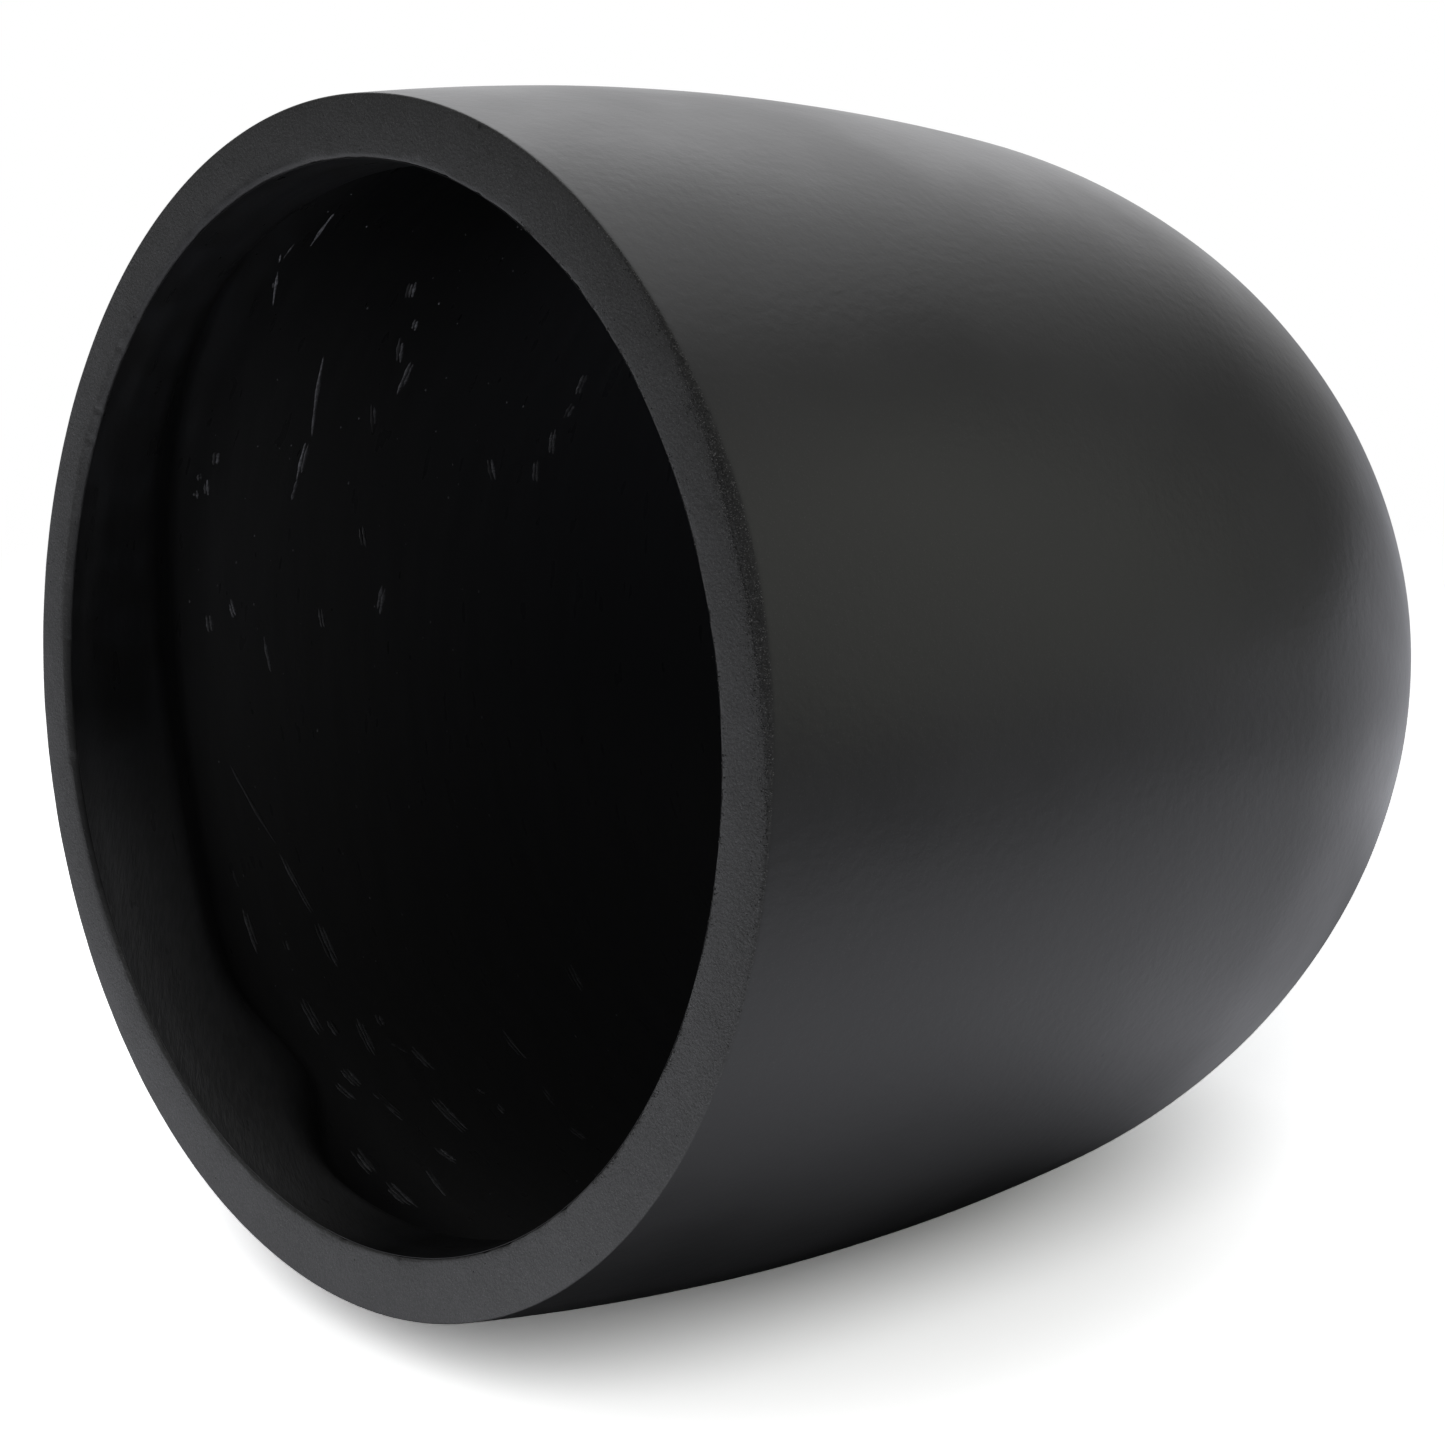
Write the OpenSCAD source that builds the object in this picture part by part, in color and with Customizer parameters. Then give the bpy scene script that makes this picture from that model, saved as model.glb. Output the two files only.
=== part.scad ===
// Bullet-shaped planter pot, cast in one piece with a thick returned rim,
// coated inside with a brushed sealant and closed below by a rubber drain plug.
// It stands upright: the base lies on z = 0 and the mouth opens upwards along +Z.
// Every piece is turned from a half section, drawn with the radius along x and the height along y.

/* [Outside] */
// Height from the base to the rim face
height = 406; // [360:1:460]
// Diameter across the widest ring
max_d = 406; // [360:1:460]
// Height of the widest ring above the base
belly_z = 306; // [280:1:330]
// Radius of the long arc that makes the side
belly_r = 936; // [700:1:1300]
// Radius of the arc that turns the side in to the base
lower_r = 258; // [230:1:290]
// Diameter of the base, to its corner before rounding
base_d = 193; // [160:1:220]
// Rounding of the base corner
heel_r = 6; // [2:0.5:12]

/* [Rim and wall] */
// Width of the flat rim face
rim_w = 21; // [18:0.5:28]
// Rounding of the rim's outer edge
rim_outer_r = 0.75; // [0.5:0.25:5]
// Rounding of the rim's inner edge
rim_inner_r = 0.75; // [0.5:0.25:4]
// Depth of the thick collar below the rim face
collar_h = 35; // [20:1:60]
// Rounding of the collar's back edge
collar_edge_r = 4; // [1:0.5:6]
// Fillet between the collar's sloping shoulder and the wall
shoulder_r = 10; // [4:0.5:14]
// Wall thickness behind the collar
wall = 12; // [8:0.5:14]
// Thickness of the floor
floor_t = 18; // [12:0.5:30]
// Fillet between the floor and the wall
floor_r = 30; // [10:1:45]

/* [Lining] */
// Thickness of the brushed coat
coat = 1.2; // [0.6:0.1:2]

/* [Drain] */
// Diameter of the drain hole
drain_d = 25; // [18:0.5:40]
// Chamfer at both ends of the drain hole
drain_chamfer = 2; // [0.5:0.25:4]
// Clearance between the plug's sealing rings and the hole
plug_fit = 0.15; // [0.05:0.05:0.5]
// How far the plug's head reaches past the hole all round
plug_lip = 7; // [5:0.5:12]
// Thickness of the plug's head
plug_head_t = 4; // [3:0.5:8]
// Rounding of the head's top edge
plug_head_r = 1.5; // [0.5:0.25:2.5]
// Number of sealing rings on the shank
ring_count = 3; // [2:1:4]
// How far each sealing ring stands out of the shank
ring_h = 1; // [0.5:0.25:1.25]
// Wall of the hollow shank
plug_wall = 3.5; // [2:0.5:5]
// How far the shank's end stays above the base
plug_recess = 2; // [1:0.5:5]

/* [Hidden] */
$fn = 180;

// How far a cut runs past the face that it opens
over = 1;
// Slope of the collar's shoulder, and of the chamfers
slope_a = 45;

// Unit vector at an angle
function dir(a) = [cos(a), sin(a)];

// Angle of a point seen from a centre
function angle_to(c, p) = atan2(p[1] - c[1], p[0] - c[0]);

// Point at height z on the outer side of a circle
function on_circle(c, r, z) = [c[0] + sqrt(r * r - pow(z - c[1], 2)), z];

// The one of two circles' meeting points that lies to the left on the way from the first to the second
function left_meet(c1, r1, c2, r2) =
    let (d = norm(c2 - c1),
         along = (r1 * r1 - r2 * r2 + d * d) / (2 * d),
         aside = sqrt(r1 * r1 - along * along),
         a = angle_to(c1, c2))
    c1 + along * dir(a) + aside * dir(a + 90);

// The side's arc is centred level with the widest ring, and the lower arc touches it from inside
// and runs through the base corner.
max_r = max_d / 2;
belly_c = [max_r - belly_r, belly_z];
lower_c = left_meet(belly_c, belly_r - lower_r, [base_d / 2, 0], lower_r);
join_a = angle_to(belly_c, lower_c);

// Rim and collar
rim_r = on_circle(belly_c, belly_r, height)[0];
mouth_r = rim_r - rim_w;
collar_z = height - collar_h;
// Radius plus height, the same all along the 45 degree shoulder
shoulder_sum = mouth_r + collar_z;

// Centres of the roundings
rim_outer_c = on_circle(belly_c, belly_r - rim_outer_r, height - rim_outer_r);
rim_inner_c = [mouth_r + rim_inner_r, height - rim_inner_r];
heel_c = on_circle(lower_c, lower_r - heel_r, heel_r);
collar_edge_c = [mouth_r + collar_edge_r, collar_z + collar_edge_r * (sqrt(2) - 1)];
floor_c = on_circle(lower_c, lower_r - wall - floor_r, floor_t + floor_r);
// The shoulder's fillet touches both the shoulder and the inside of the wall
shoulder_c =
    let (sum = shoulder_sum - shoulder_r * sqrt(2),
         reach = belly_r - wall - shoulder_r,
         across = sum - belly_c[0],
         z = (across + belly_z - sqrt(2 * reach * reach - pow(across - belly_z, 2))) / 2)
    [sum - z, z];

// Drain hole and plug
drain_r = drain_d / 2;
coat_hole_r = drain_r + drain_chamfer;
seat_z = floor_t + coat;
plug_head_d = drain_d + 2 * plug_lip;
ring_r = drain_r - plug_fit;
shank_r = ring_r - ring_h;
bore_r = shank_r - plug_wall;
hole_low = drain_chamfer;
hole_high = floor_t - drain_chamfer;
ring_step = (hole_high - hole_low) / ring_count;

// A circle drawn with a corner at angle a, where another arc joins it
module disc(c, r, a = 0) translate(c) rotate(a) circle(r);

// The half section's strip between two heights
module band(z_low, z_high, r = max_d) translate([0, z_low]) square([r, z_high - z_low]);

// What a rounding takes off a corner: the sector from a1 to a2 outside the circle
module corner_waste(c, r, a1, a2) {
    reach = 2 * r;
    difference() {
        translate(c) polygon([[0, 0], reach * dir(a1), reach * sqrt(2) * dir((a1 + a2) / 2), reach * dir(a2)]);
        disc(c, r);
    }
}

// The space inside the two arcs, moved in by inset, between two heights
module body_outline(inset, z_low, z_high) {
    z_join = belly_c[1] + (belly_r - inset) * sin(join_a);
    intersection() {
        disc(belly_c, belly_r - inset, join_a);
        band(z_join, z_high);
    }
    intersection() {
        disc(lower_c, lower_r - inset, join_a);
        band(z_low, z_join);
    }
}

// The outside with its rim edge and base corner rounded
module outer_outline() {
    difference() {
        body_outline(0, 0, height);
        corner_waste(rim_outer_c, rim_outer_r, angle_to(belly_c, rim_outer_c), 90);
        corner_waste(heel_c, heel_r, -90, angle_to(lower_c, heel_c));
    }
}

// The hollow of the pot, moved in by t: the mouth inside the collar, and the wider chamber behind it
module inner_space(t) {
    mouth = mouth_r - t;
    floor_z = floor_t + t;
    sum = shoulder_sum - t * sqrt(2);
    edge_z = sum - mouth;
    band(edge_z, height + over, mouth);
    difference() {
        intersection() {
            body_outline(wall + t, floor_z, edge_z);
            polygon([[0, floor_z], [max_r, floor_z], [max_r, sum - max_r], [mouth, edge_z], [0, edge_z]]);
        }
        corner_waste(floor_c, floor_r - t, -90, angle_to(lower_c, floor_c));
        corner_waste(shoulder_c, shoulder_r - t, angle_to(belly_c, shoulder_c), slope_a);
    }
    corner_waste(collar_edge_c, collar_edge_r + t, 180, 180 + slope_a);
}

// The drain hole with a chamfer at both ends
module drain_hole() {
    polygon([
        [0, 0], [coat_hole_r, 0], [drain_r, hole_low],
        [drain_r, hole_high], [coat_hole_r, floor_t], [0, floor_t]
    ]);
}

// Cast pot with its collar and floor in one piece
module planter_shell() {
    color([0.21, 0.21, 0.22]) rotate_extrude() difference() {
        outer_outline();
        inner_space(0);
        drain_hole();
        corner_waste(rim_inner_c, rim_inner_r, 90, 180);
    }
}

// Waterproof coat on the whole inside, from the rim's rounded inner edge down to the drain hole
module sealant_lining() {
    color([0.05, 0.05, 0.05]) rotate_extrude() difference() {
        intersection() {
            inner_space(0);
            band(0, height - rim_inner_r);
        }
        inner_space(coat);
        band(0, seat_z + over, coat_hole_r);
    }
}

// Hollow rubber stopper with sealing rings, seated on the floor by its head and pulled out upwards
module drain_plug() {
    head_r = plug_head_d / 2;
    top_z = seat_z + plug_head_t;
    color([0.12, 0.12, 0.12]) rotate_extrude() difference() {
        union() {
            difference() {
                band(seat_z, top_z, head_r);
                corner_waste([head_r - plug_head_r, top_z - plug_head_r], plug_head_r, 0, 90);
            }
            band(plug_recess, seat_z, shank_r);
            for (i = [0 : ring_count - 1])
                disc([shank_r, hole_low + (i + 0.5) * ring_step], ring_h);
        }
        band(plug_recess - over, seat_z - bore_r, bore_r);
        disc([0, seat_z - bore_r], bore_r);
    }
}

planter_shell();
sealant_lining();
drain_plug();
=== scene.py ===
"""Looks of the planter pot: cast surface, brushed coat, plug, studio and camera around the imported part."""

import math
from collections import namedtuple

import bmesh
import bpy
import numpy as np
from mathutils import Matrix, Vector


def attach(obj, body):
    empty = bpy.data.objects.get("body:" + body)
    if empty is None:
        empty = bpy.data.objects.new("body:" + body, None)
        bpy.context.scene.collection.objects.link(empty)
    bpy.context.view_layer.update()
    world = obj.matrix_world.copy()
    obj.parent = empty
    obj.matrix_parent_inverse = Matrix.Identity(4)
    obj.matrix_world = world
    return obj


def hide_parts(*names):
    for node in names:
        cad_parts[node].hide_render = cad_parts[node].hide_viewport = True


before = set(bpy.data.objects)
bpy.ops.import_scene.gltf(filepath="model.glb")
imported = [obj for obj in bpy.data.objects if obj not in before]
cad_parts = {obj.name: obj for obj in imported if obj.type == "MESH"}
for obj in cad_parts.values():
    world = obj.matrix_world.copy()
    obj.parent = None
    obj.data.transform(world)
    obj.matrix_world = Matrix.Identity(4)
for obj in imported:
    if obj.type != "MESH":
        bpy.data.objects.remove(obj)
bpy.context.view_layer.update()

# Sizes of the part in millimetres, as in its source; meshes are turned into metres when they are made
MM = 0.001
HEIGHT = 406.0
MAX_R = 203.0
BELLY_Z = 306.0
BELLY_R = 936.0
LOWER_R = 258.0
BASE_R = 96.5
HEEL_R = 6.0
RIM_W = 21.0
RIM_OUTER_R = 0.75
RIM_INNER_R = 0.75
COLLAR_H = 35.0
SHOULDER_R = 10.0
WALL = 12.0
FLOOR_T = 18.0
FLOOR_R = 30.0
COAT = 1.2
DRAIN_R = 12.5
DRAIN_CHAMFER = 2.0

# The collar's back edge, cast by hand: it is soft, wanders in three waves and has one lump
COLLAR_WAVES = 3
COLLAR_WAVE = 7.0
COLLAR_WAVE_ANGLE = -38.0
COLLAR_LIFT = 2.0
COLLAR_SOFT_R = 8.0
LUMP_DEPTH = 16.5
LUMP_ANGLE = 60.5
LUMP_WIDTH = 9.3
LUMP_SOFT_R = 17.0
LUMP_SOFT_WIDTH = 14.0

# Hollows of the cast surface, all cut inwards from the drawn shape
SIDE_WAVE = 0.1
RIM_WAVE = 0.08
RIM_SUNK = 0.12
EDGE_WAVE = 0.35
EDGE_WAVE_REACH = 1.6
CHIP_COUNT = 40
CHIP_DEPTH = 0.5
CHIP_REACH = 1.1
# Heights where the side's hollows fade in and out and where the rim's fade in, and the way left to the
# mouth's edge over which all but the chips fade out
SIDE_FROM = (4.0, 40.0)
SIDE_UNTIL = (395.0, 403.0)
FACE_FROM = (404.6, 405.4)
TO_EDGE = (-6.0, 2.0)

# The rim's face is crowned a little. Along one stretch its outer edge is rubbed round. Along another the
# mouth is wider than drawn, down to the collar's back edge, and its edge is rounder.
CROWN = 0.4
WORN_R = 3.8
WORN_ANGLE = 208.0
WORN_WIDTH = 18.0
EASED_R = 2.4
WIDER = 4.6
WIDER_ANGLE = -15.0
WIDER_WIDTH = 52.0
WIDER_FROM = (352.0, 374.0)
# Black of the coat is smeared over that rounder edge: how far out from the drawn mouth it is full, and gone
SMEAR_FULL = 3.2
SMEAR_GONE = 6.8

# Sand grains laid bare on the rim. Along the worn edge: their spread as a share of its width, where they sit
# on the rounding in degrees, the share that lies on the face instead, and how far in from the edge those are.
EDGE_GRAINS = 4200
EDGE_GRAIN_SIZE = (0.1, 0.28)
EDGE_SPREAD = 0.75
EDGE_TURN = (10.0, 90.0)
BESIDE_SHARE = 0.4
BESIDE_FAR = 1.8
# Along the inner edge, on one stretch: the least way from the mouth, and how far past it they lie
INNER_GRAINS = 420
INNER_GRAIN_ANGLES = (140.0, 250.0)
INNER_LEAST = 0.6
INNER_FAR = 0.5
# Scattered over the face, inside these margins from the mouth and from the outer edge
FACE_GRAINS = 260
FACE_GRAIN_SIZE = (0.12, 0.3)
FACE_MARGINS = (3.0, 2.0)

# Points round the pot at the rim; the other rings have a half, a quarter or an eighth of them
ROUND = 1440
# Where the rings of the body get fewer points: below the rim, at the base, and near the drain hole
RIM_RINGS_Z = 398.0
BASE_RINGS_Z = 3.0
BASE_RINGS_R = 60.0
# Edges sharper than this many degrees stay sharp
SHARP = 50.0
# Rows of points on the base, the heel, the side's two arcs and their top end, the rim's outer edge, face and
# inner edge
BODY_ROWS = (5, 8, 34, 48, 3, 9, 28, 7)
# How far below the rim the side's top end starts, in degrees of the long arc
TOP_END = 0.1
# Rows of points on the floor, its fillet, the wall's two arcs, the shoulder's fillet, the collar's back edge
# and the collar: on the wall behind the coat, and on the coat's front and back
HIDDEN_ROWS = (3, 5, 9, 12, 5, 5, 8)
COAT_ROWS = (8, 12, 42, 70, 8, 9, 14)
COAT_BACK_ROWS = (3, 5, 9, 12, 5, 5, 14)
# Rows and depth of the cast surface inside the mouth, and how far below the coat's top the hidden wall starts
MOUTH_ROWS = 6
MOUTH_DEPTH = 7.0
HIDDEN_DROP = 9.0

# The brushed coat: its waves, calmer on the collar and none at the drain hole, its thin top edge, the gap
# behind it, and the bristle marks (in metres) where it is thin on one stretch of the collar, a stretch that
# is also painted paler as light falling in
COAT_WAVE = 0.15
CALM = 0.6
CALM_FROM = (365.0, 385.0)
HOLE_FADE = 12.0
COAT_EDGE_T = 0.15
COAT_TAPER = 11.0
COAT_GAP = 0.02
THIN_ANGLE = 57.0
BRISTLE_TILT = 25.0
BRISTLE_SIZE = (0.05, 0.006, 0.0011)

# Strokes that stand out, as (x, y, x, y, width) in the photo's pixels: the upper wall, then the lower one
STROKES = (
    (217, 446, 215, 470, 5), (199, 472, 200, 482, 4), (206, 478, 207, 498, 4), (195, 488, 196, 500, 4),
    (324, 355, 312, 437, 3), (308, 440, 298, 482, 5), (297, 480, 291, 502, 3), (373, 398, 374, 437, 4),
    (417, 318, 413, 332, 4), (402, 336, 398, 368, 5), (414, 358, 397, 399, 5), (413, 282, 408, 302, 6),
    (589, 366, 575, 401, 5), (575, 401, 564, 421, 5), (554, 428, 551, 460, 5), (537, 453, 535, 488, 5),
    (489, 455, 494, 482, 5), (361, 525, 365, 550, 5), (385, 580, 378, 616, 5), (320, 607, 324, 632, 4),
    (208, 613, 211, 634, 5), (229, 598, 235, 618, 4), (264, 636, 271, 672, 3), (281, 254, 273, 306, 2),
    (335, 212, 308, 250, 3), (276, 280, 274, 288, 4), (295, 243, 282, 260, 2),
    (230, 764, 277, 845, 3), (277, 845, 323, 930, 4), (316, 918, 340, 972, 7), (243, 904, 260, 956, 5),
    (233, 870, 239, 887, 3), (284, 938, 288, 952, 4), (299, 992, 324, 1037, 7), (326, 1016, 339, 1037, 5),
    (356, 1016, 376, 1058, 6), (377, 1014, 384, 1028, 5), (388, 1042, 408, 1053, 3),
    (410, 1046, 435, 1072, 5), (341, 1066, 360, 1087, 7), (332, 1080, 358, 1103, 5),
    (370, 1087, 408, 1122, 6), (426, 1089, 476, 1141, 7), (497, 1025, 526, 1060, 5), (566, 962, 583, 993, 6),
    (568, 1125, 589, 1141, 6), (539, 1083, 558, 1108, 4), (474, 1088, 487, 1096, 4),
    (497, 1104, 506, 1114, 4), (351, 1145, 378, 1179, 8), (385, 1181, 416, 1210, 8),
    (433, 1145, 462, 1166, 5), (422, 1162, 453, 1202, 5),
)
# Widths in pixels from which a stroke is split into two and into three marks
SPLIT_PX = (4, 6)
# Size of a pixel of the photo at the wall; a mark's bead is wider than its lit flank that shows
PIXEL = 0.36
BEAD = 1.7
# Strokes on the wall that the photo doesn't show, and specks of dust with the middle and spread of their
# angles
UNSEEN_STROKES = 40
UNSEEN_ANGLES = (130.0, 280.0)
UNSEEN_HEIGHTS = (150.0, 345.0)
DUST_SPECKS = 160
DUST_ANGLES = (10.0, 50.0)
DUST_HEIGHTS = (200.0, 350.0)

# Places in the materials, in metres, each as where a look starts and where it is full: the rim by height; the
# smear and the thin coat by the way out to their stretches; the thin coat also by height, painted lighter
# towards the mouth, and radius, and its bristles by height; the wall and the pot's bottom by height, and how
# far
# out the wall turns pale: painted shade and painted light
RIM_FADE = (0.396, 0.4)
SMEAR_REACH = (0.084, 0.136)
THIN_REACH = (0.125, 0.172)
THIN_AND_LIT_Z = (0.36, 0.402)
THIN_R = (0.188, 0.177)
BRISTLE_Z = (0.376, 0.39)
WALL_Z = (0.37, 0.33)
BOTTOM_Z = (0.29, 0.12)
LIT_WALL_REACH = (-0.1, 0.19)

# Camera as fitted to the photo, in millimetres and degrees: where the mouth is in the camera's own axes
# (right, down, away), how the pot's axis is turned, and the camera's pitch down to the floor
FOCAL_PX = 3600.0
IMAGE_PX = 1445.0
SENSOR = 36.0
MOUTH_IN_CAMERA = np.array([-117.39, -2.67, 1161.23])
AXIS_TURN = 48.976
AXIS_DIP = 4.534
CAMERA_PITCH = 18.4

# The white floor, in metres: where the pot touches it, how bright it is to the camera and to the pot, and the
# lamps that light it, as (front, left, up, watts)
FLOOR_TOUCH = (0.0, 0.195, 0.183)
FLOOR_GAIN = 2.0
FLOOR_GLOW = 0.73
FLOOR_TINT = (0.97, 0.98, 1.05, 1.0)
FLOOR_LAMPS = ((1.0, 0.1, 0.6, 20.5), (0.8, 0.6, 0.8, 7.5))
LAMP_SIZE = 1.2
LAMP_AWAY = 2.0
# Where it fades into the backdrop, and its glow, painted bounce light on the pot, as ramps (start, end, value
# at the start, value at the end): dim far away, less so behind the pot; a painted shadow along the pot's
# middle line, in a band that narrows towards the base; bright past both ends
FLOOR_FADE = (0.5, 1.0)
GLOW_FAR = (0.4, 1.2, 0.0, 1.0)
GLOW_BEHIND = (-0.1, 0.5, 0.75, 0.3)
GLOW_BESIDE = (0.12, 0.33, 0.0, 1.0)
GLOW_AT_BASE = (0.2, -0.02, 0.0, 0.15)
GLOW_PAST_MOUTH = (0.39, 0.45, 0.0, 1.3)
GLOW_PAST_BASE = (-0.1, -0.35, 0.0, 1.4)
# The sheet's rings, points round each and reach in millimetres
FLOOR_RINGS = 6
FLOOR_AROUND = 48
FLOOR_REACH = 4000.0

# Light on the pot: an even glow, and soft panels as (front, left, up, colour, far, near). A panel fades in as
# the cosine from its direction goes from far to near.
AMBIENT = 0.15
PANELS = (
    (-0.5, 0.0, 0.87, (0.66, 0.665, 0.68), 0.76, 0.86),
    (-1.0, -0.3, 0.9, (0.24, 0.24, 0.24), 0.8, 0.95),
    (-1.0, 0.0, 0.1, (0.52, 0.52, 0.53), 0.72, 0.95),
    (-1.0, 0.0, 0.25, (0.37, 0.37, 0.38), 0.84, 0.96),
    (0.1, -1.0, 0.4, (0.42, 0.43, 0.38), 0.85, 0.97),
    (0.0, -1.0, 0.9, (0.12, 0.12, 0.12), 0.85, 0.97),
)

# Directions of the camera and of the floor, and the camera's place in millimetres
View = namedtuple("View", "right up back eye front left floor_up")


def unit(v):
    return np.asarray(v, float) / np.linalg.norm(v)


def angle_to(c, p):
    return np.degrees(np.arctan2(p[1] - c[1], p[0] - c[0]))


def on_circle(c, r, z):
    return np.array([c[0] + np.sqrt(r * r - (z - c[1]) ** 2), z])


def left_meet(c1, r1, c2, r2):
    """The meeting point of two circles that lies to the left on the way from the first to the second."""
    d = np.linalg.norm(c2 - c1)
    along = (r1 * r1 - r2 * r2 + d * d) / (2 * d)
    aside = math.sqrt(r1 * r1 - along * along)
    way = (c2 - c1) / d
    return c1 + along * way + aside * np.array([-way[1], way[0]])


BELLY_C = np.array([MAX_R - BELLY_R, BELLY_Z])
LOWER_C = left_meet(BELLY_C, BELLY_R - LOWER_R, np.array([BASE_R, 0.0]), LOWER_R)
JOIN_A = angle_to(BELLY_C, LOWER_C)
RIM_R = on_circle(BELLY_C, BELLY_R, HEIGHT)[0]
MOUTH_R = RIM_R - RIM_W
RIM_EDGE_Z = HEIGHT - CROWN
HEEL_C = on_circle(LOWER_C, LOWER_R - HEEL_R, HEEL_R)
FLOOR_C = on_circle(LOWER_C, LOWER_R - WALL - FLOOR_R, FLOOR_T + FLOOR_R)
COAT_HOLE_R = DRAIN_R + DRAIN_CHAMFER


# Patterns and profiles


def angles(count):
    return np.linspace(-math.pi, math.pi, count, endpoint=False)


def smooth(x, low, high):
    """Soft step from 0 at low to 1 at high."""
    u = np.clip((x - low) / (high - low), 0, 1)
    return u * u * (3 - 2 * u)


def bump(theta, angle, width):
    """Bell curve round the pot, 1 at an angle; angle and width are in degrees."""
    apart = np.degrees((theta - math.radians(angle) + math.pi) % (2 * math.pi) - math.pi)
    return np.exp(-((apart / width) ** 2))


def ripple(theta, s, seed, along, across, waves=28):
    """Smooth seeded pattern from -1 to 1. Its wavelengths are drawn from the range along, round the pot,
    and across, up it."""
    rng = np.random.default_rng(seed)
    total = np.zeros(np.broadcast(theta, s).shape)
    for _ in range(waves):
        turns = max(1, round(2 * math.pi * MAX_R / rng.uniform(*along))) * rng.choice([-1, 1])
        total += np.sin(turns * theta + 2 * math.pi * s / rng.uniform(*across) + rng.uniform(0, 2 * math.pi))
    return np.tanh(total / math.sqrt(waves))


def arc(centre, radius, a1, a2, count):
    """Points on a circle; the ends may differ from one angle round the pot to the next."""
    a = np.radians(np.linspace(a1, a2, count))
    return np.stack([centre[0] + radius * np.cos(a), centre[1] + radius * np.sin(a)], -1)


def line(p, q, count):
    return np.linspace(p, q, count)


def all_round(theta, r, z):
    """A point of the half section at every angle; r or z may differ from one angle to the next."""
    return np.stack([r + 0 * theta, z + 0 * theta], -1)


def rim_top(r):
    """Height of the crowned rim face at a radius."""
    across = (r - MOUTH_R) / RIM_W * 2 - 1
    return HEIGHT - CROWN * np.minimum(across**2, 1)


def outer_edge(theta):
    """Rounding of the rim's outer edge, crisp but for its worn stretch: radius and centre."""
    r = RIM_OUTER_R + (WORN_R - RIM_OUTER_R) * bump(theta, WORN_ANGLE, WORN_WIDTH)
    return r, on_circle(BELLY_C, BELLY_R - r, RIM_EDGE_Z - r)


def inner_edge_r(theta):
    """Radius of the rounding of the rim's inner edge."""
    return RIM_INNER_R + (EASED_R - RIM_INNER_R) * bump(theta, WIDER_ANGLE, WIDER_WIDTH)


def widening(theta, z):
    """How much wider than drawn the collar is at a height."""
    return WIDER * bump(theta, WIDER_ANGLE, WIDER_WIDTH) * smooth(z, *WIDER_FROM)


def coat_top(theta):
    return RIM_EDGE_Z - inner_edge_r(theta)


def outer_profile(theta):
    """Half sections from the drain hole under the base, up the side, over the rim and into the mouth:
    (rows, angles, 2)."""
    n_base, n_heel, n_lower, n_belly, n_top, n_edge, n_face, n_eased = BODY_ROWS
    edge_r, edge_c = outer_edge(theta)
    eased = inner_edge_r(theta)
    eased_c = (MOUTH_R + widening(theta, RIM_EDGE_Z) + eased, RIM_EDGE_Z - eased)
    face = line(all_round(theta, edge_c[0], HEIGHT), all_round(theta, eased_c[0], HEIGHT), n_face)
    face[..., 1] = rim_top(face[..., 0])
    mouth_end = all_round(theta, MOUTH_R, RIM_EDGE_Z - MOUTH_DEPTH)
    mouth = line(all_round(theta, MOUTH_R, RIM_EDGE_Z - eased), mouth_end, MOUTH_ROWS)
    mouth[..., 0] += widening(theta, mouth[..., 1])
    same = np.ones_like(theta)
    side_top = angle_to(BELLY_C, edge_c)
    near_top = side_top - TOP_END
    heel_end = angle_to(LOWER_C, HEEL_C) * same
    parts = [
        line(all_round(theta, COAT_HOLE_R, 0), all_round(theta, HEEL_C[0], 0), n_base),
        arc(HEEL_C, HEEL_R, -90 * same, heel_end, n_heel),
        arc(LOWER_C, LOWER_R, heel_end, JOIN_A * same, n_lower),
        arc(BELLY_C, BELLY_R, JOIN_A * same, near_top, n_belly),
        arc(BELLY_C, BELLY_R, near_top, side_top, n_top),
        arc(edge_c, edge_r, side_top, 90 * same, n_edge),
        face,
        arc(eased_c, eased, 90 * same, 180 * same, n_eased),
        mouth,
    ]
    return np.concatenate([parts[0], *[p[1:] for p in parts[1:]]])


def collar_edge(theta):
    """Height of the collar's back edge at each angle round the pot."""
    wave = COLLAR_WAVE * np.cos(COLLAR_WAVES * (theta - math.radians(COLLAR_WAVE_ANGLE)))
    return HEIGHT - COLLAR_H + COLLAR_LIFT + wave - LUMP_DEPTH * bump(theta, LUMP_ANGLE, LUMP_WIDTH)


def shoulder_fillet(edge):
    """Fillet from the wall to the collar's shoulder: its centre and the angle where it leaves the wall."""
    total = MOUTH_R + edge - SHOULDER_R * math.sqrt(2)
    reach = BELLY_R - WALL - SHOULDER_R
    across = total - BELLY_C[0]
    z = (across + BELLY_Z - np.sqrt(2 * reach**2 - (across - BELLY_Z) ** 2)) / 2
    centre = (total - z, z)
    return centre, angle_to(BELLY_C, centre)


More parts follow.
